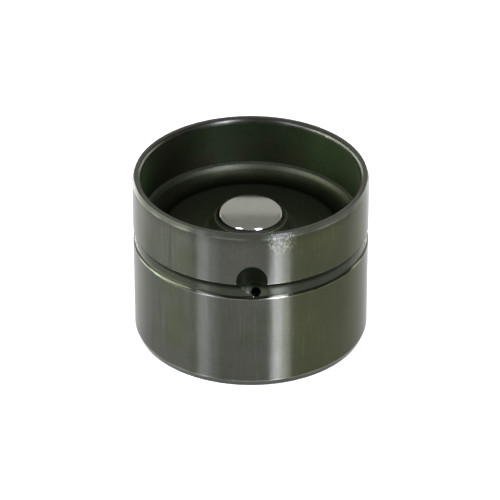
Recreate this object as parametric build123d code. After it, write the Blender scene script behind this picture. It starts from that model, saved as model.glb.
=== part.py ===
from build123d import *
from math import asin, atan, cos, degrees, radians, sin, sqrt, tan
import os

# Hydraulic bucket tappet for an overhead-cam engine, in millimetres.
# It stands on its closed cam face with the open skirt up, as in the reference view.
# Origin: centre of the cam face. +Z: out of the open skirt, towards the valve.
# The oil pocket and the oil hole face -Y.

# Bucket shell: a drawn steel cup
outer_diameter = 35.0
overall_height = 26.0
skirt_wall = 1.25
base_thickness = 2.6
base_inside_radius = 1.2
cam_edge_axial = 0.945
cam_edge_radial = 0.355
rim_outer_axial = 0.73
rim_outer_radial = 0.24
rim_inner_radius = 0.57

# Oil groove round the skirt, with curved flanks
groove_height = 16.45
groove_width = 2.5
groove_floor_width = 1.2
groove_depth = 0.3

# Oil pocket: a pit from a ball-nosed cutter over the groove, with the oil hole on its lower side
pocket_offset = 0.2
pocket_height = 18.15
pocket_depth = 0.78
pocket_ball_radius = 5.0
oil_hole_diameter = 1.45
oil_hole_offset = 0.75
oil_hole_height = 16.3
oil_hole_tilt = 15.0

# Oil transfer slot pressed into the inside of the base, under the piston
transfer_slot_width = 2.6
transfer_slot_depth = 0.5
transfer_slot_overlap = 1.2

# Guide web: the sleeve that guides the hydraulic element, carried by a dished web
web_thickness = 1.05
web_rim_height = 18.6
web_rim_bevel_width = 0.4
web_rim_bevel_drop = 0.25
web_trough_margin = 3.05
web_bowl_depth = 1.9
web_slope = 4.0
collar_height = 18.8
collar_wall = 0.24
collar_root_wall = 1.0
collar_edge_radius = 0.15
collar_root_fillet = 1.0
sleeve_wall = 0.9
sleeve_root_fillet = 0.8
sleeve_base_gap = 1.0
sleeve_lead_in = 0.2

# Inner housing: the closed tube whose flat end meets the valve stem
housing_diameter = 10.4
housing_end_height = 19.75
housing_end_wall = 1.65
housing_end_radius = 0.9
housing_base_gap = 3.3
housing_edge_chamfer = 0.3
guide_clearance = 0.02

# Piston: stands on the base inside the inner housing and carries the valve seat
piston_diameter = 6.6
piston_height = 9.9
piston_wall = 1.0
piston_crown = 1.9
piston_edge_chamfer = 0.25
piston_clearance = 0.015
valve_passage_diameter = 1.4
valve_seat_width = 0.45
valve_seat_angle = 90.0

# Check valve: ball, ball spring and valve cap on the piston's crown
ball_diameter = 2.5
ball_seat_clearance = 0.01
ball_lift = 0.2
valve_cap_thickness = 0.2
valve_cap_side_clearance = 0.35
valve_cap_flange_gap = 0.35
valve_cap_head_gap = 0.4
valve_cap_port_count = 4
valve_cap_port_width = 0.8
valve_cap_port_height = 0.7
ball_spring_wire = 0.16
ball_spring_diameter = 1.2
ball_spring_turns = 2.5

# Return spring between the valve cap's flange and the inner housing's end
return_spring_wire = 0.45
return_spring_turns = 5.0
return_spring_side_gap = 0.12

# Values that follow from the sizes above
outer_radius = outer_diameter / 2
skirt_inner_radius = outer_radius - skirt_wall
housing_radius = housing_diameter / 2
sleeve_bore_radius = housing_radius + guide_clearance
piston_radius = piston_diameter / 2
housing_bore_radius = piston_radius + piston_clearance
piston_top = base_thickness + piston_height
chamber_ceiling = housing_end_height - housing_end_wall
ball_radius = ball_diameter / 2
seat_half_angle = radians(valve_seat_angle / 2)
cap_inner_radius = ball_radius + valve_cap_side_clearance
cap_outer_radius = cap_inner_radius + valve_cap_thickness
cap_flange_radius = piston_radius - valve_cap_flange_gap


def ball_height():
    """Height of the ball's centre when it lies on the conical valve seat."""
    seat_contact_radius = ball_radius * cos(seat_half_angle)
    seat_bottom = piston_top - valve_seat_width / tan(seat_half_angle)
    seat_reach = seat_contact_radius - valve_passage_diameter / 2
    contact_height = seat_bottom + seat_reach / tan(seat_half_angle)
    return contact_height + ball_radius * sin(seat_half_angle) + ball_seat_clearance


def cap_ceiling():
    """Inside height of the valve cap: the ball's top at full lift, and room for its spring."""
    return ball_height() + ball_radius + ball_lift + valve_cap_head_gap


def revolved(face):
    """A solid of revolution about the tappet's axis."""
    return revolve(face, Axis.Z)


def corner_arc(before, corner, after, radius):
    """Start, middle and end of the arc that rounds the corner between two straight runs."""
    corner = Vector(*corner)
    back = (Vector(*before) - corner).normalized()
    ahead = (Vector(*after) - corner).normalized()
    half_angle = radians(back.get_angle(ahead) / 2)
    reach = radius / tan(half_angle)
    middle = (back + ahead).normalized() * (radius / sin(half_angle) - radius)
    return corner + back * reach, corner + middle, corner + ahead * reach


def pocket_cutter():
    """Ball of the cutter at the pocket's full depth."""
    ball_distance = outer_radius - pocket_depth + pocket_ball_radius
    return Pos(pocket_offset, -ball_distance, pocket_height) * Sphere(pocket_ball_radius)


def oil_hole_cutter():
    """Round hole from the pocket's lower side through the skirt, falling towards the inside."""
    tilt = radians(oil_hole_tilt)
    inward = Vector(0, cos(tilt), -sin(tilt))
    mouth = Vector(oil_hole_offset, -(outer_radius - pocket_depth / 2), oil_hole_height)
    reach = skirt_wall * 2
    return Plane(origin=mouth - inward * reach, z_dir=inward) * Cylinder(
        oil_hole_diameter / 2, 2 * reach, align=(Align.CENTER, Align.CENTER, Align.MIN)
    )


def transfer_slot_cutter():
    """Round-ended slot that lets oil pass under the piston's wall into its bore."""
    slot_middle = piston_radius - piston_wall / 2
    slot_length = piston_wall + 2 * transfer_slot_overlap + transfer_slot_width
    slot = SlotOverall(slot_length, transfer_slot_width)
    floor = Plane(origin=(slot_middle, 0, base_thickness - transfer_slot_depth))
    return extrude(floor * slot, transfer_slot_depth + base_inside_radius)


def bucket_shell():
    """Drawn cup with the cam face, the chamfered rim, the oil groove, the pocket and the oil hole."""
    flank_height = (groove_width - groove_floor_width) / 2
    flank_angle = 2 * degrees(atan(groove_depth / flank_height))
    flank_radius = flank_height / sin(radians(flank_angle))
    flank_centre_radius = outer_radius - groove_depth + flank_radius
    floor_bottom = groove_height - groove_floor_width / 2
    floor_top = groove_height + groove_floor_width / 2
    half_width = groove_width / 2
    rim_round_radius = skirt_inner_radius + rim_inner_radius
    rim_round_height = overall_height - rim_inner_radius
    base_round_radius = skirt_inner_radius - base_inside_radius
    base_round_height = base_thickness + base_inside_radius
    with BuildSketch(Plane.XZ) as profile:
        with BuildLine():
            Polyline(
                (0, 0),
                (outer_radius - cam_edge_radial, 0),
                (outer_radius, cam_edge_axial),
                (outer_radius, groove_height - half_width),
            )
            CenterArc((flank_centre_radius, floor_bottom), flank_radius, 180 + flank_angle, -flank_angle)
            Line((outer_radius - groove_depth, floor_bottom), (outer_radius - groove_depth, floor_top))
            CenterArc((flank_centre_radius, floor_top), flank_radius, 180, -flank_angle)
            Polyline(
                (outer_radius, groove_height + half_width),
                (outer_radius, overall_height - rim_outer_axial),
                (outer_radius - rim_outer_radial, overall_height),
                (rim_round_radius, overall_height),
            )
            CenterArc((rim_round_radius, rim_round_height), rim_inner_radius, 90, 90)
            Line((skirt_inner_radius, rim_round_height), (skirt_inner_radius, base_round_height))
            CenterArc((base_round_radius, base_round_height), base_inside_radius, 0, -90)
            Polyline((base_round_radius, base_thickness), (0, base_thickness), (0, 0))
        make_face()
    shell = revolved(profile.sketch)
    return shell - pocket_cutter() - oil_hole_cutter() - transfer_slot_cutter()


def guide_web():
    """Guide sleeve and dished web in one piece: collar above, long sleeve below, rim on the skirt."""
    bowl_edge_radius = skirt_inner_radius - web_rim_bevel_width
    trough_radius = skirt_inner_radius - web_trough_margin
    bowl_reach = bowl_edge_radius - trough_radius
    bowl_angle = 2 * atan(web_bowl_depth / bowl_reach)
    bowl_radius = bowl_reach / sin(bowl_angle)
    bowl_centre_height = web_rim_height - web_rim_bevel_drop - web_bowl_depth + bowl_radius
    bowl_centre = (trough_radius, bowl_centre_height)
    outer_bowl_radius = bowl_radius + web_thickness
    outer_bowl_angle = asin(web_trough_margin / outer_bowl_radius)
    rim_foot_height = bowl_centre_height - outer_bowl_radius * cos(outer_bowl_angle)
    slope = radians(web_slope)
    sleeve_bottom = base_thickness + sleeve_base_gap
    sleeve_outer_radius = sleeve_bore_radius + sleeve_wall
    collar_top_radius = sleeve_bore_radius + collar_wall
    collar_root_radius = sleeve_bore_radius + collar_root_wall

    def web_surface(bowl, radius):
        """Height of the sloping web at a radius, for the upper or the lower face."""
        edge_radius = trough_radius - bowl * sin(slope)
        edge_height = bowl_centre_height - bowl * cos(slope)
        return edge_height + (edge_radius - radius) * tan(slope)

    collar_root = (collar_root_radius, web_surface(bowl_radius, collar_root_radius))
    sleeve_root = (sleeve_outer_radius, web_surface(outer_bowl_radius, sleeve_outer_radius))
    collar_edge = (collar_top_radius, collar_height)
    upper_edge = (trough_radius - bowl_radius * sin(slope), bowl_centre_height - bowl_radius * cos(slope))
    lower_edge = (
        trough_radius - outer_bowl_radius * sin(slope),
        bowl_centre_height - outer_bowl_radius * cos(slope),
    )
    sleeve_foot = (sleeve_outer_radius, sleeve_bottom)
    collar_mouth = (sleeve_bore_radius, collar_height)
    sleeve_round = corner_arc(lower_edge, sleeve_root, sleeve_foot, sleeve_root_fillet)
    edge_round = corner_arc(collar_mouth, collar_edge, collar_root, collar_edge_radius)
    root_round = corner_arc(collar_edge, collar_root, upper_edge, collar_root_fillet)
    with BuildSketch(Plane.XZ) as profile:
        with BuildLine():
            ThreePointArc(*sleeve_round)
            Polyline(
                sleeve_round[2],
                sleeve_foot,
                (sleeve_bore_radius + sleeve_lead_in, sleeve_bottom),
                (sleeve_bore_radius, sleeve_bottom + sleeve_lead_in),
                collar_mouth,
                edge_round[0],
            )
            ThreePointArc(*edge_round)
            Line(edge_round[2], root_round[0])
            ThreePointArc(*root_round)
            Line(root_round[2], upper_edge)
            CenterArc(bowl_centre, bowl_radius, -90 - web_slope, degrees(bowl_angle) + web_slope)
            Polyline(
                (bowl_edge_radius, web_rim_height - web_rim_bevel_drop),
                (skirt_inner_radius, web_rim_height),
                (skirt_inner_radius, rim_foot_height),
            )
            CenterArc(
                bowl_centre,
                outer_bowl_radius,
                degrees(outer_bowl_angle) - 90,
                -degrees(outer_bowl_angle) - web_slope,
            )
            Line(lower_edge, sleeve_round[0])
        make_face()
    return revolved(profile.sketch)


def inner_housing():
    """Closed tube: flat end with a rounded edge towards the valve, bore for the piston."""
    bottom = base_thickness + housing_base_gap
    with BuildSketch(Plane.XZ) as profile:
        with BuildLine():
            Polyline(
                (0, chamber_ceiling),
                (housing_bore_radius, chamber_ceiling),
                (housing_bore_radius, bottom + housing_edge_chamfer),
                (housing_bore_radius + housing_edge_chamfer, bottom),
                (housing_radius - housing_edge_chamfer, bottom),
                (housing_radius, bottom + housing_edge_chamfer),
                (housing_radius, housing_end_height - housing_end_radius),
            )
            CenterArc(
                (housing_radius - housing_end_radius, housing_end_height - housing_end_radius),
                housing_end_radius,
                0,
                90,
            )
            Polyline(
                (housing_radius - housing_end_radius, housing_end_height),
                (0, housing_end_height),
                (0, chamber_ceiling),
            )
        make_face()
    return revolved(profile.sketch)


def piston():
    """Open-ended piston with an oil reservoir and a conical valve seat in its crown."""
    reservoir_radius = piston_radius - piston_wall
    reservoir_top = piston_top - piston_crown
    passage_radius = valve_passage_diameter / 2
    seat_depth = valve_seat_width / tan(seat_half_angle)
    with BuildSketch(Plane.XZ) as profile:
        Polygon(
            (reservoir_radius, base_thickness),
            (piston_radius - piston_edge_chamfer, base_thickness),
            (piston_radius, base_thickness + piston_edge_chamfer),
            (piston_radius, piston_top - piston_edge_chamfer),
            (piston_radius - piston_edge_chamfer, piston_top),
            (passage_radius + valve_seat_width, piston_top),
            (passage_radius, piston_top - seat_depth),
            (passage_radius, reservoir_top),
            (reservoir_radius, reservoir_top),
            align=None,
        )
    return revolved(profile.sketch)


def check_ball():
    """Steel ball on the valve seat."""
    return Pos(0, 0, ball_height()) * Sphere(ball_radius)


def valve_cap():
    """Pressed cap with a flange on the piston's crown and oil ports round its side."""
    ceiling = cap_ceiling()
    flange_top = piston_top + valve_cap_thickness
    with BuildSketch(Plane.XZ) as profile:
        Polygon(
            (0, ceiling),
            (cap_inner_radius, ceiling),
            (cap_inner_radius, piston_top),
            (cap_flange_radius, piston_top),
            (cap_flange_radius, flange_top),
            (cap_outer_radius, flange_top),
            (cap_outer_radius, ceiling + valve_cap_thickness),
            (0, ceiling + valve_cap_thickness),
            align=None,
        )
    cap = revolved(profile.sketch)
    port_height = (flange_top + ceiling) / 2
    port_box = Box(cap_outer_radius, valve_cap_port_width, valve_cap_port_height)
    port = Pos(cap_outer_radius, 0, port_height) * port_box
    for index in range(valve_cap_port_count):
        cap -= Rot(0, 0, 360 / valve_cap_port_count * index) * port
    return cap


def coil(mean_radius, wire, bottom, top, turns):
    """Round-wire helix between two planes, with its end turns ground flat."""
    height = top - bottom
    pitch = height / turns
    path = Pos(0, 0, bottom) * Helix(pitch, height, mean_radius)
    section = Plane(origin=path @ 0, z_dir=path % 0) * Circle(wire / 2)
    spring = sweep(section, path, is_frenet=True)
    slab = Cylinder(mean_radius + wire, height, align=(Align.CENTER, Align.CENTER, Align.MIN))
    return spring & Pos(0, 0, bottom) * slab


def return_spring():
    """Spring that keeps the inner housing out against the valve."""
    mean_radius = housing_bore_radius - return_spring_side_gap - return_spring_wire / 2
    foot = piston_top + valve_cap_thickness
    return coil(mean_radius, return_spring_wire, foot, chamber_ceiling, return_spring_turns)


def ball_spring():
    """Small spring that holds the ball on its seat."""
    mean_radius = (ball_spring_diameter - ball_spring_wire) / 2
    crown = ball_height() + sqrt(ball_radius**2 - mean_radius**2)
    return coil(mean_radius, ball_spring_wire, crown, cap_ceiling(), ball_spring_turns)


def main():
    os.makedirs("parts", exist_ok=True)
    nodes = {
        "bucket_shell": bucket_shell(),
        "guide_web": guide_web(),
        "inner_housing": inner_housing(),
        "piston": piston(),
        "check_ball": check_ball(),
        "ball_spring": ball_spring(),
        "valve_cap": valve_cap(),
        "return_spring": return_spring(),
    }
    for name, solid in nodes.items():
        export_step(solid, f"parts/{name}.step")


main()
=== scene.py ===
import math

import bpy
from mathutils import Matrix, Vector


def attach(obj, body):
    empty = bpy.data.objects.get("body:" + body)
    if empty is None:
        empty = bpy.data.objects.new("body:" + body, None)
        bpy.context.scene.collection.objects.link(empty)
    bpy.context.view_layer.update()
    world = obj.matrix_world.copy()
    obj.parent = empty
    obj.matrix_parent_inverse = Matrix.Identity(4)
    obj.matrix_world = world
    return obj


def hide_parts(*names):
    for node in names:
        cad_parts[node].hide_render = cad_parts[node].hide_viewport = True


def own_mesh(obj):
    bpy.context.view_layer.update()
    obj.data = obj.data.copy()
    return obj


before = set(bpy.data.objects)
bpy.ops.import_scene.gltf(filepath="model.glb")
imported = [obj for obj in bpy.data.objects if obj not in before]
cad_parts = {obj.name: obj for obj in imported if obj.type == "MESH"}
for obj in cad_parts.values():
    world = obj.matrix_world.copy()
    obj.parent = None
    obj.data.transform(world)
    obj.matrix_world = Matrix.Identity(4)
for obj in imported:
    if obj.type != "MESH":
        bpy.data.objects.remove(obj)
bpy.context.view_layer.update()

white = (1.0, 1.0, 1.0)

# Camera, as fitted to the rim and base edges of the photograph
camera_lens_mm = 244.1
camera_sensor_mm = 36.0
camera_distance = 0.5069
camera_elevation = 32.007
camera_target = (-0.000123, 0.0, 0.012762)
camera_near = 0.01
camera_far = 20.0

# Floor: a matt white sheet that metal sees with a faint gloss, as on white acrylic
floor_radius = 4.0
floor_corners = 96
floor_colour = (0.86, 0.86, 0.86)
floor_glow = 0.42
floor_gloss_share = 0.35
floor_gloss_roughness = 0.10

# World: white at the horizon, softer above it and darker on the camera's side
horizon_level = 1.0
world_back_level = 0.50
world_front_level = 0.30
world_top_level = 0.27
horizon_start = 0.05
horizon_end = 0.14
back_start = 0.20
back_end = 0.85
zenith_start = 0.530
zenith_end = 0.565

# Lamps: name, azimuth from the front towards +X, elevation, distance, width, height, radiance, colour
strip_white = (1.01, 0.98, 1.42)
side_white = (0.98, 1.0, 1.06)
lamps = (
    ("softbox_right", 25.4, 32.0, 0.60, 0.088, 0.50, 17.5, strip_white),
    ("softbox_right_fill", 34.0, 32.0, 0.60, 0.070, 0.50, 8.5, strip_white),
    ("softbox_left", -47.0, 32.0, 0.60, 0.100, 0.50, 5.8, strip_white),
    ("softbox_left_fill", -37.0, 32.0, 0.60, 0.100, 0.50, 1.6, strip_white),
    ("side_left", -82.0, 17.5, 0.70, 0.62, 0.18, 13.5, side_white),
    ("back_left", -130.0, 18.0, 0.70, 0.56, 0.18, 9.0, side_white),
    ("back_right", 130.0, 18.0, 0.70, 0.56, 0.18, 5.0, side_white),
)
lamp_aim = (0.0, 0.0, 0.013)

# Bucket shell: radii and heights where the finish changes, and how softly it does
ground_radius = 0.01744
ground_soft = 0.00003
inside_radius = 0.0165
inside_soft = 0.0001
rim_round = 0.02540
rim_foot = 0.02525
rim_face = 0.02598
rim_soft = 0.00004
land_edge = 0.01727
land_soft = 0.00006
cam_edge = 0.00095
cam_soft = 0.00003
groove_top = 0.0177
groove_bottom = 0.0152
# From pit_start up to pit_end the pocket and the groove's upper part go over to a painted-shade colour
pit_start = groove_bottom + 0.0012
pit_end = groove_top - 0.0004
# shade_start: from this height up to the rim's foot the wall is drawn darker, as painted shade
shade_start = 0.0236

# Scuffed patch under the rim: its middle, its reach, the share of it in full and its speckle
scuff_place = (0.0043, -0.0170, 0.0250)
scuff_reach = 0.0030
scuff_full = 0.3
scuff_speckle = (0.50, 0.58)

# Side of the wall, towards -X, that is rubbed along the axis
rubbed_start = -0.0090
rubbed_end = -0.0125

# Side of the wall, towards +X, where the lighter grey of painted sheen goes over to the darker olive
sheen_fade_start = 0.0030
sheen_fade_end = 0.0075

# Oil hole's middle, and the reach and depth of the dished ground round it, which is also drawn lighter
# as painted light
hole_place = (0.00082, -0.0172, 0.01627)
dish_reach = 0.0019
dish_depth = 0.00014

# Worn edges, partly painted highlights: how far each reaches, the rim's share, where patches let it
# show, and its gain
rim_wear_glint_rise = 0.00012
rim_wear_glint_reach = 0.00025
rim_wear_glint_share = 0.5
cam_wear_glint_reach = 0.0002
upper_lip_reach = 0.0001
lower_lip_reach = 0.00016
wear_and_glint_patches = (0.32, 0.56)
wear_and_glint_gain = 1.5

# Shell patterns: lines as length and width, noise as scale, detail and roughness, and scratches
# as length, width, start and end
shell_lines = (0.02, 0.00012)
shell_patches = (260.0, 3.0)
shell_stains = (90.0, 4.0, 0.6)
shell_grain = (5000.0, 2.0)
shell_tint = (130.0, 2.0)
shell_speckle = (2600.0, 3.0)
shell_streaks = (0.008, 0.00022, 0.56, 0.72)
shell_rubs = (0.012, 0.00030, 0.54, 0.68)
shell_nicks = (0.0012, 0.00010, 0.68, 0.76)

# Shell colours, most as a darker and a lighter end
# The grey wall colours are painted sheen: the wall lighter and greyer where white light is reflected
sheen_grey_wall_colours = ((0.054, 0.057, 0.042), (0.066, 0.070, 0.051))
olive_wall_colours = ((0.047, 0.052, 0.025), (0.059, 0.065, 0.033))
wall_tint_colour = (0.048, 0.055, 0.030)
wall_tint_range = (0.50, 0.80)
groove_colours = ((0.030, 0.034, 0.022), (0.041, 0.046, 0.030))
# Pit colours: painted shade laid over the dark unground finish, in the pocket and the groove's upper
# part
pit_shade_colours = ((0.003, 0.0045, 0.002), (0.006, 0.008, 0.004))
inside_colours = ((0.017, 0.027, 0.010), (0.026, 0.039, 0.016))
inside_tint_colour = (0.027, 0.030, 0.014)
inside_tint_range = (0.42, 0.62)
bevel_colours = ((0.062, 0.068, 0.048), (0.092, 0.099, 0.075))
rounding_colours = ((0.060, 0.065, 0.046), (0.092, 0.098, 0.074))
land_colours = ((0.140, 0.146, 0.118), (0.190, 0.197, 0.162))

# How much each pattern lightens the shell, or darkens it where it is below 0
wall_stain_gain = 0.7
wall_grain_gain = 0.5
streak_gain = 0.2
rub_gain = -0.35
shade_gain = -0.22
nick_gain = 0.5
scuff_gain = 1.4
# painted light: how much lighter the dished ground round the oil hole is drawn
dish_light_gain = 0.4
inside_stain_gain = 1.0
inside_grain_gain = 0.8

# Shell shader: its anisotropy and tint, roughness of each part, and heights of its bump
shell_anisotropy = 0.7
shell_brush_turn = 0.25
shell_edge_tint = (0.80, 0.80, 0.76)
wall_roughness = (0.17, 0.22)
groove_roughness = 0.18
pit_roughness = 0.45
inside_roughness = 0.72
rounding_roughness = 0.32
rim_roughness = (0.16, 0.26)
scuff_roughness = 0.34
unground_line_height = 0.5e-6
ground_line_height = 1.5e-6
scuff_depth = 4.0e-6

# Guide web: radii where the finish changes and how softly, and the place and gain of painted light
# round the collar
web_flat_radius = 0.0130
web_flat_soft = 0.0003
web_rim_radius = 0.0158
web_rim_soft = 0.0004
lit_collar_radius = 0.0059
lit_collar_reach = 0.0013
lit_collar_gain = 1.7
web_lines = (0.012, 0.00025)
web_patches = (300.0, 3.0)
web_grain = (4000.0, 2.0)
web_grain_gain = 0.8
bowl_colours = ((0.014, 0.017, 0.008), (0.026, 0.030, 0.014))
# Web rim colours are painted light: the rim drawn lighter where its edge catches light
web_rim_light_colours = ((0.070, 0.080, 0.048), (0.095, 0.108, 0.066))
web_floor_colours = ((0.062, 0.073, 0.038), (0.078, 0.092, 0.048))
bowl_roughness = (0.42, 0.48)
web_floor_roughness = 0.52
web_line_height = 1.5e-6

# Inner housing: height under which its edge isn't ground bright, and the dome of its end,
# whose drop is this times the radius squared
edge_height = 0.01915
edge_soft = 0.0001
end_dome = 6.5
end_lines = (0.006, 0.00012)
end_patches = (700.0, 4.0)
end_colours = ((0.54, 0.55, 0.47), (0.65, 0.66, 0.57))
edge_colour = (0.38, 0.39, 0.30)
end_roughness = (0.08, 0.13)
edge_roughness = 0.46
end_line_height = 0.3e-6

# Hidden pieces: name of the metal, its darker and lighter end, roughness, and its nodes
plain_steels = (
    ("piston_steel", (0.40, 0.40, 0.38), (0.48, 0.48, 0.46), 0.28, ("piston",)),
    ("ball_steel", (0.56, 0.56, 0.56), (0.62, 0.62, 0.62), 0.07, ("check_ball",)),
    ("cap_steel", (0.36, 0.35, 0.32), (0.43, 0.42, 0.39), 0.32, ("valve_cap",)),
    ("spring_steel", (0.26, 0.26, 0.26), (0.34, 0.34, 0.34), 0.28, ("return_spring", "ball_spring")),
)
plain_lines = (0.006, 0.00015)
plain_patches = (600.0, 3.0)
plain_grain = (5000.0, 2.0)
plain_patch_gain = 0.5
plain_grain_gain = 0.25
plain_dulling = 1.5
plain_line_height = 1.0e-6

# Springs: node, the joint that shortens it, the joint's travel and the height of its fixed end
springs = (
    ("return_spring", "element_slide", 0.0026, 0.0127),
    ("ball_spring", "ball_lift", 0.0002, 0.0149778),
)


class Nodes:
    """Short calls that build one node tree."""

    def __init__(self, tree):
        self.tree = tree
        tree.nodes.clear()

    def put(self, socket, value):
        """Sets an input to a value, or links it to a socket."""
        if isinstance(value, bpy.types.NodeSocket):
            self.tree.links.new(value, socket)
        elif isinstance(value, tuple) and socket.type == "RGBA":
            socket.default_value = (*value[:3], 1.0)
        else:
            socket.default_value = value

    def add(self, kind, inputs=None, **settings):
        """A node of a kind, with its settings and its inputs."""
        node = self.tree.nodes.new(kind)
        for name, value in settings.items():
            setattr(node, name, value)
        for name, value in (inputs or {}).items():
            self.put(node.inputs[name], value)
        return node

    def math(self, operation, first, second=0.0):
        """Output of a Math node."""
        return self.add("ShaderNodeMath", {0: first, 1: second}, operation=operation).outputs[0]

    def ramp(self, value, start, end, low=0.0, high=1.0):
        """A value that goes smoothly from low to high while the input goes from start to end."""
        node = self.add(
            "ShaderNodeMapRange",
            {"Value": value, "From Min": start, "From Max": end, "To Min": low, "To Max": high},
            interpolation_type="SMOOTHSTEP",
        )
        return node.outputs["Result"]

    def near(self, value, centre, reach):
        """1 where the value is the centre, falling to 0 at a reach from it."""
        away = self.math("ABSOLUTE", self.math("SUBTRACT", value, centre))
        return self.ramp(away, reach, 0.0)

    def mix(self, share, first, second):
        """Mix of two numbers."""
        return self.add("ShaderNodeMix", {0: share, 2: first, 3: second}, data_type="FLOAT").outputs[0]

    def mix_colour(self, share, first, second):
        """Mix of two colours."""
        return self.add("ShaderNodeMix", {0: share, 6: first, 7: second}, data_type="RGBA").outputs[2]

    def lighten(self, colour, share, gain):
        """A colour, made lighter by up to a gain where the share is 1."""
        factor = self.math("ADD", 1.0, self.math("MULTIPLY", share, gain))
        return self.add("ShaderNodeVectorMath", {0: colour, 1: factor}, operation="MULTIPLY").outputs[0]

    def vary(self, colour, pattern, gain):
        """A colour, lighter where the pattern is over a half and darker where it is under it."""
        return self.lighten(colour, self.math("SUBTRACT", pattern, 0.5), gain)

    def noise(self, place, scale, detail=2.0, roughness=0.5):
        """Noise from 0 to 1 at a place."""
        node = self.add(
            "ShaderNodeTexNoise",
            {"Vector": place, "Scale": scale, "Detail": detail, "Roughness": roughness},
        )
        return node.outputs["Fac"]


def shown_rays(nodes):
    """1 for camera, glossy and transmission rays, and 0 for the light that falls on things."""
    path = nodes.add("ShaderNodeLightPath")
    seen = nodes.math("MAXIMUM", path.outputs["Is Camera Ray"], path.outputs["Is Glossy Ray"])
    return nodes.math("MAXIMUM", seen, path.outputs["Is Transmission Ray"])


def make_camera():
    """Camera at the photograph's viewing angle."""
    data = bpy.data.cameras.new("camera")
    data.lens = camera_lens_mm
    data.sensor_width = camera_sensor_mm
    data.clip_start = camera_near
    data.clip_end = camera_far
    camera = bpy.data.objects.new("camera", data)
    bpy.context.scene.collection.objects.link(camera)
    elevation = math.radians(camera_elevation)
    back = Vector((0.0, -math.cos(elevation), math.sin(elevation)))
    camera.location = Vector(camera_target) + back * camera_distance
    camera.rotation_euler = (math.pi / 2 - elevation, 0.0, 0.0)
    bpy.context.scene.camera = camera


def make_floor():
    """Large white floor that keeps the tappet's shadow."""
    bpy.ops.mesh.primitive_circle_add(vertices=floor_corners, radius=floor_radius, fill_type="NGON")
    floor = bpy.context.object
    floor.name = "floor"
    material = bpy.data.materials.new("floor")
    material.use_nodes = True
    nodes = Nodes(material.node_tree)
    matt = nodes.add("ShaderNodeBsdfDiffuse", {"Color": floor_colour})
    gloss = nodes.add("ShaderNodeBsdfGlossy", {"Color": white, "Roughness": floor_gloss_roughness})
    path = nodes.add("ShaderNodeLightPath")
    share = nodes.math("MULTIPLY", path.outputs["Is Glossy Ray"], floor_gloss_share)
    sheet = nodes.add("ShaderNodeMixShader", {0: share, 1: matt.outputs[0], 2: gloss.outputs[0]})
    strength = nodes.math("MULTIPLY", shown_rays(nodes), floor_glow)
    glow = nodes.add("ShaderNodeEmission", {"Color": white, "Strength": strength})
    both = nodes.add("ShaderNodeAddShader", {0: sheet.outputs[0], 1: glow.outputs[0]})
    nodes.add("ShaderNodeOutputMaterial", {"Surface": both.outputs[0]})
    floor.data.materials.append(material)


def make_world():
    """White horizon under a softer sky that is darker on the camera's side and overhead."""
    world = bpy.data.worlds.new("studio")
    bpy.context.scene.world = world
    world.use_nodes = True
    nodes = Nodes(world.node_tree)
    direction = nodes.add("ShaderNodeTexCoord").outputs["Generated"]
    parts = nodes.add("ShaderNodeSeparateXYZ", {0: direction})
    sky = nodes.ramp(parts.outputs["Y"], back_start, back_end, world_front_level, world_back_level)
    high_sky = nodes.mix(nodes.ramp(parts.outputs["Z"], zenith_start, zenith_end), sky, world_top_level)
    above = nodes.ramp(parts.outputs["Z"], horizon_start, horizon_end)
    level = nodes.mix(above, horizon_level, high_sky)
    background = nodes.add("ShaderNodeBackground", {"Color": white, "Strength": level})
    nodes.add("ShaderNodeOutputWorld", {"Surface": background.outputs[0]})


def make_lamps():
    """Soft boxes that aim at the tappet's middle."""
    for name, azimuth, elevation, distance, width, height, radiance, colour in lamps:
        data = bpy.data.lights.new(name, "AREA")
        data.shape = "RECTANGLE"
        data.size = width
        data.size_y = height
        data.energy = radiance * math.pi * width * height
        data.color = colour
        lamp = bpy.data.objects.new(name, data)
        bpy.context.scene.collection.objects.link(lamp)
        turn = math.radians(azimuth)
        rise = math.radians(elevation)
        away = Vector(
            (math.sin(turn) * math.cos(rise), -math.cos(turn) * math.cos(rise), math.sin(rise))
        )
        lamp.location = Vector(lamp_aim) + away * distance
        lamp.rotation_mode = "QUATERNION"
        lamp.rotation_quaternion = (-away).to_track_quat("-Z", "Y")
        lamp.visible_camera = False


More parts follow.
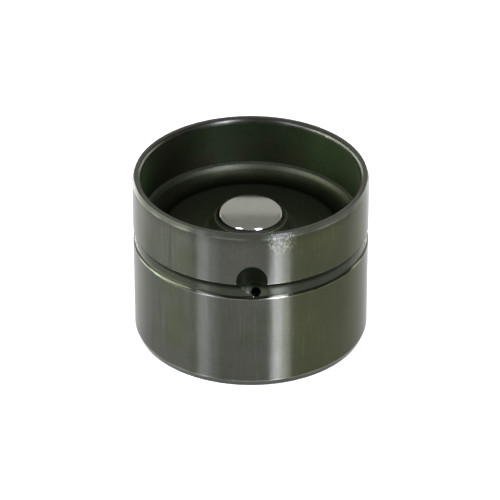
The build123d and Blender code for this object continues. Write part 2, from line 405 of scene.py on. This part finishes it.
class Metal(Nodes):
    """A metal's node tree, with its shader and the places that its pattern follows."""

    def __init__(self, name, **settings):
        self.material = bpy.data.materials.new(name)
        self.material.use_nodes = True
        super().__init__(self.material.node_tree)
        self.shader = self.add("ShaderNodeBsdfPrincipled", {"Metallic": 1.0, **settings})
        self.add("ShaderNodeOutputMaterial", {"Surface": self.shader.outputs[0]})
        self.place = self.add("ShaderNodeTexCoord").outputs["Object"]
        parts = self.add("ShaderNodeSeparateXYZ", {0: self.place})
        self.x, self.y, self.z = (parts.outputs[axis] for axis in "XYZ")
        flat = self.add("ShaderNodeCombineXYZ", {"X": self.x, "Y": self.y})
        length = self.add("ShaderNodeVectorMath", {0: flat.outputs[0]}, operation="LENGTH")
        self.radius = length.outputs["Value"]

    def turned_lines(self, length, width):
        """Noise drawn out along the circles round the axis, from 0 to 1."""
        along = 1.0 / length
        across = 1.0 / width
        place = self.add(
            "ShaderNodeCombineXYZ",
            {
                "X": self.math("MULTIPLY", self.x, along),
                "Y": self.math("MULTIPLY", self.y, along),
                "Z": self.math("MULTIPLY", self.math("ADD", self.radius, self.z), across),
            },
        )
        return self.noise(place.outputs[0], 1.0)

    def scratches(self, length, width, start, end):
        """Sparse scratches that run along the axis, from 0 to 1."""
        across = 1.0 / width
        place = self.add(
            "ShaderNodeCombineXYZ",
            {
                "X": self.math("MULTIPLY", self.x, across),
                "Y": self.math("MULTIPLY", self.y, across),
                "Z": self.math("MULTIPLY", self.z, 1.0 / length),
            },
        )
        return self.ramp(self.noise(place.outputs[0], 1.0), start, end)

    def distance(self, place):
        """Distance from a place."""
        node = self.add("ShaderNodeVectorMath", {0: self.place, 1: place}, operation="DISTANCE")
        return node.outputs["Value"]

    def finish(self, colour, roughness, height):
        """Links the shader's colour, roughness and, as a bump, a height in metres."""
        self.put(self.shader.inputs["Base Color"], colour)
        self.put(self.shader.inputs["Roughness"], roughness)
        bump = self.add("ShaderNodeBump", {"Strength": 1.0, "Distance": 1.0, "Height": height})
        self.put(self.shader.inputs["Normal"], bump.outputs[0])
        return self.material


class ShellSteel(Metal):
    """Bucket shell: finely ground wall and rim, dull inside, dark and smooth in groove and pocket, with
    painted shade, sheen and highlights in its colour.
    """

    def __init__(self):
        super().__init__("dark_steel", Anisotropic=shell_anisotropy)
        self.put(self.shader.inputs["Anisotropic Rotation"], shell_brush_turn)
        self.put(self.shader.inputs["Specular Tint"], shell_edge_tint)
        tangent = self.add("ShaderNodeTangent", direction_type="RADIAL", axis="Z")
        self.put(self.shader.inputs["Tangent"], tangent.outputs[0])
        self.mark_zones()
        self.draw_patterns()

    def mark_zones(self):
        """Each zone of the shell, as 1 inside it and 0 outside it."""
        self.ground = self.ramp(self.radius, ground_radius - ground_soft, ground_radius)
        below_rim = self.ramp(self.z, rim_round + inside_soft, rim_round)
        inner_side = self.ramp(self.radius, inside_radius, inside_radius - inside_soft)
        self.inside = self.math("MULTIPLY", inner_side, below_rim)
        self.rim = self.ramp(self.z, rim_foot, rim_foot + rim_soft)
        self.land = self.ramp(self.z, rim_face - rim_soft, rim_face)
        self.bevel = self.ramp(self.radius, land_edge - land_soft, land_edge)
        self.pit = self.ramp(self.z, pit_start, pit_end)
        self.foot = self.ramp(self.z, cam_edge + cam_soft, cam_edge)
        self.shade = self.ramp(self.z, shade_start, rim_foot)
        reach_share = self.math("MULTIPLY", self.distance(hole_place), 1.0 / dish_reach)
        bowl = self.math("MINIMUM", self.math("POWER", reach_share, 2.0), 1.0)
        self.dish = self.math("SUBTRACT", 1.0, bowl)

    def draw_patterns(self):
        """Lines, stains, grain, scratches, the scuffed patch and the worn edges with painted
        highlights, from 0 to 1.
        """
        self.lines = self.turned_lines(*shell_lines)
        self.patches = self.noise(self.place, *shell_patches)
        self.stains = self.noise(self.place, *shell_stains)
        self.grain = self.noise(self.place, *shell_grain)
        self.tint = self.noise(self.place, *shell_tint)
        self.streaks = self.scratches(*shell_streaks)
        self.nicks = self.scratches(*shell_nicks)
        rubbed_side = self.ramp(self.x, rubbed_start, rubbed_end)
        self.rubs = self.math("MULTIPLY", self.scratches(*shell_rubs), rubbed_side)
        patch = self.ramp(self.distance(scuff_place), scuff_reach, scuff_reach * scuff_full)
        speckle = self.ramp(self.noise(self.place, *shell_speckle), *scuff_speckle)
        self.scuff = self.math("MULTIPLY", patch, speckle)
        self.wear_and_glint = self.wear_and_glint_edges()

    def wear_and_glint_edges(self):
        """Edges of rim, cam face and groove, worn bright in patches, partly as painted highlights."""
        rim_wear_glint = self.near(self.z, rim_foot + rim_wear_glint_rise, rim_wear_glint_reach)
        cam_wear_glint = self.near(self.z, cam_edge, cam_wear_glint_reach)
        upper_lip = self.near(self.z, groove_top, upper_lip_reach)
        lower_lip = self.near(self.z, groove_bottom, lower_lip_reach)
        ends = self.math("MAXIMUM", self.math("MULTIPLY", rim_wear_glint, rim_wear_glint_share), cam_wear_glint)
        edges = self.math("MAXIMUM", ends, self.math("MAXIMUM", upper_lip, lower_lip))
        return self.math("MULTIPLY", edges, self.ramp(self.patches, *wear_and_glint_patches))

    def wall_colour(self):
        """Ground wall: painted sheen's grey going over to olive, with its stains, scratches and scuff,
        and painted shade under the rim.
        """
        # painted sheen: grey on the front and -X side, going over to the darker olive towards +X
        sheen_grey_wall = self.mix_colour(self.lines, *sheen_grey_wall_colours)
        olive_wall = self.mix_colour(self.lines, *olive_wall_colours)
        sheen_fade = self.ramp(self.x, sheen_fade_start, sheen_fade_end)
        colour = self.mix_colour(sheen_fade, sheen_grey_wall, olive_wall)
        colour = self.mix_colour(self.ramp(self.tint, *wall_tint_range), colour, wall_tint_colour)
        colour = self.vary(colour, self.stains, wall_stain_gain)
        colour = self.vary(colour, self.grain, wall_grain_gain)
        colour = self.lighten(colour, self.streaks, streak_gain)
        colour = self.lighten(colour, self.rubs, rub_gain)
        # painted shade: the wall drawn darker towards the rim's foot
        colour = self.lighten(colour, self.shade, shade_gain)
        colour = self.lighten(colour, self.nicks, nick_gain)
        return self.lighten(colour, self.scuff, scuff_gain)

    def inside_colour(self):
        """Dull dark green inside of the skirt."""
        colour = self.mix_colour(self.patches, *inside_colours)
        colour = self.mix_colour(self.ramp(self.tint, *inside_tint_range), colour, inside_tint_colour)
        colour = self.vary(colour, self.stains, inside_stain_gain)
        return self.vary(colour, self.grain, inside_grain_gain)

    def colour(self):
        """Colour of the whole shell, zone by zone."""
        groove_colour = self.mix_colour(self.patches, *groove_colours)
        # painted light: the groove drawn lighter in the dish round the oil hole
        groove_colour = self.lighten(groove_colour, self.dish, dish_light_gain)
        pit_shade_colour = self.mix_colour(self.patches, *pit_shade_colours)
        bevel_colour = self.mix_colour(self.patches, *bevel_colours)
        rounding_colour = self.mix_colour(self.patches, *rounding_colours)
        land_colour = self.mix_colour(self.patches, *land_colours)
        rim_colour = self.mix_colour(self.land, rounding_colour, land_colour)
        # painted shade: the pocket and the groove's upper part drawn near black
        colour = self.mix_colour(self.pit, groove_colour, pit_shade_colour)
        colour = self.mix_colour(self.ground, colour, self.wall_colour())
        colour = self.mix_colour(self.inside, colour, self.inside_colour())
        colour = self.mix_colour(self.rim, colour, rim_colour)
        colour = self.mix_colour(self.math("MULTIPLY", self.rim, self.bevel), colour, bevel_colour)
        colour = self.mix_colour(self.foot, colour, bevel_colour)
        # edges lightened in patches: wear, partly painted highlights where the edges catch the lamps
        return self.lighten(colour, self.wear_and_glint, wear_and_glint_gain)

    def roughness(self):
        """Roughness of the whole shell, zone by zone."""
        unground = self.mix(self.pit, groove_roughness, pit_roughness)
        roughness = self.mix(self.ground, unground, self.mix(self.stains, *wall_roughness))
        roughness = self.mix(self.inside, roughness, inside_roughness)
        flat_rim = self.math("MAXIMUM", self.land, self.bevel)
        ground_rim = self.mix(self.patches, *rim_roughness)
        roughness = self.mix(self.rim, roughness, self.mix(flat_rim, rounding_roughness, ground_rim))
        return self.mix(self.scuff, roughness, scuff_roughness)

    def height(self):
        """Bump of the ground lines, the scuff and the dish round the oil hole, in metres."""
        line_height = self.mix(self.ground, unground_line_height, ground_line_height)
        height = self.math("MULTIPLY", self.lines, line_height)
        height = self.math("SUBTRACT", height, self.math("MULTIPLY", self.scuff, scuff_depth))
        unground_share = self.math("SUBTRACT", 1.0, self.ground)
        dent = self.math("MULTIPLY", self.math("MULTIPLY", self.dish, dish_depth), unground_share)
        return self.math("SUBTRACT", height, dent)


def shell_steel():
    """Bucket shell's finish."""
    shell = ShellSteel()
    return shell.finish(shell.colour(), shell.roughness(), shell.height())


def web_steel():
    """Guide web: satin bowl with a lighter rim, and a dull turned floor and collar, both carrying
    painted light.
    """
    metal = Metal("web_steel")
    floor = metal.ramp(metal.radius, web_flat_radius + web_flat_soft, web_flat_radius - web_flat_soft)
    rim = metal.ramp(metal.radius, web_rim_radius - web_rim_soft, web_rim_radius)
    collar = metal.near(metal.radius, lit_collar_radius, lit_collar_reach)
    lines = metal.turned_lines(*web_lines)
    patches = metal.noise(metal.place, *web_patches)
    grain = metal.noise(metal.place, *web_grain)
    bowl_colour = metal.mix_colour(patches, *bowl_colours)
    rim_colour = metal.mix_colour(patches, *web_rim_light_colours)
    flat_colour = metal.mix_colour(patches, *web_floor_colours)
    # painted light: the floor drawn lighter round the collar's flare
    flat_colour = metal.lighten(flat_colour, collar, lit_collar_gain)
    # painted light: the web's rim drawn lighter where its edge catches light
    colour = metal.mix_colour(rim, bowl_colour, rim_colour)
    colour = metal.vary(metal.mix_colour(floor, colour, flat_colour), grain, web_grain_gain)
    roughness = metal.mix(floor, metal.mix(lines, *bowl_roughness), web_floor_roughness)
    return metal.finish(colour, roughness, metal.math("MULTIPLY", lines, web_line_height))


def ground_steel():
    """Inner housing: bright, fine ground, its flat end slightly domed by polishing."""
    metal = Metal("ground_steel")
    lines = metal.turned_lines(*end_lines)
    patches = metal.noise(metal.place, *end_patches)
    edge = metal.ramp(metal.z, edge_height + edge_soft, edge_height - edge_soft)
    colour = metal.mix_colour(edge, metal.mix_colour(patches, *end_colours), edge_colour)
    roughness = metal.mix(edge, metal.mix(patches, *end_roughness), edge_roughness)
    dome = metal.math("MULTIPLY", metal.math("POWER", metal.radius, 2.0), -end_dome)
    height = metal.math("ADD", metal.math("MULTIPLY", lines, end_line_height), dome)
    return metal.finish(colour, roughness, height)


def plain_steel(name, dark, light, roughness):
    """Hidden pieces: turned or drawn steel with faint lines, fine grain and oil-dulled patches."""
    metal = Metal(name)
    lines = metal.turned_lines(*plain_lines)
    patches = metal.noise(metal.place, *plain_patches)
    grain = metal.noise(metal.place, *plain_grain)
    colour = metal.mix_colour(lines, dark, light)
    colour = metal.vary(colour, patches, plain_patch_gain)
    colour = metal.vary(colour, grain, plain_grain_gain)
    dulled = metal.mix(patches, roughness, roughness * plain_dulling)
    return metal.finish(colour, dulled, metal.math("MULTIPLY", lines, plain_line_height))


def dress(material, *names):
    """Gives CAD nodes that material."""
    for name in names:
        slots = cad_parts[name].data.materials
        slots.clear()
        slots.append(material)


def make_materials():
    """Every node's finish."""
    dress(shell_steel(), "bucket_shell")
    dress(web_steel(), "guide_web")
    dress(ground_steel(), "inner_housing")
    for name, dark, light, roughness, node_names in plain_steels:
        dress(plain_steel(name, dark, light, roughness), *node_names)


def make_springs():
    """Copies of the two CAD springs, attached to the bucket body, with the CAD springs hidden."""
    for node_name, joint, travel, fixed_end in springs:
        spring = bpy.data.objects.new(node_name + "_coil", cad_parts[node_name].data.copy())
        bpy.context.scene.collection.objects.link(spring)
        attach(spring, "bucket")
        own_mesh(spring)
        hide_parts(node_name)


bpy.context.scene.view_settings.view_transform = "Standard"
make_camera()
make_floor()
make_world()
make_lamps()
make_materials()
make_springs()
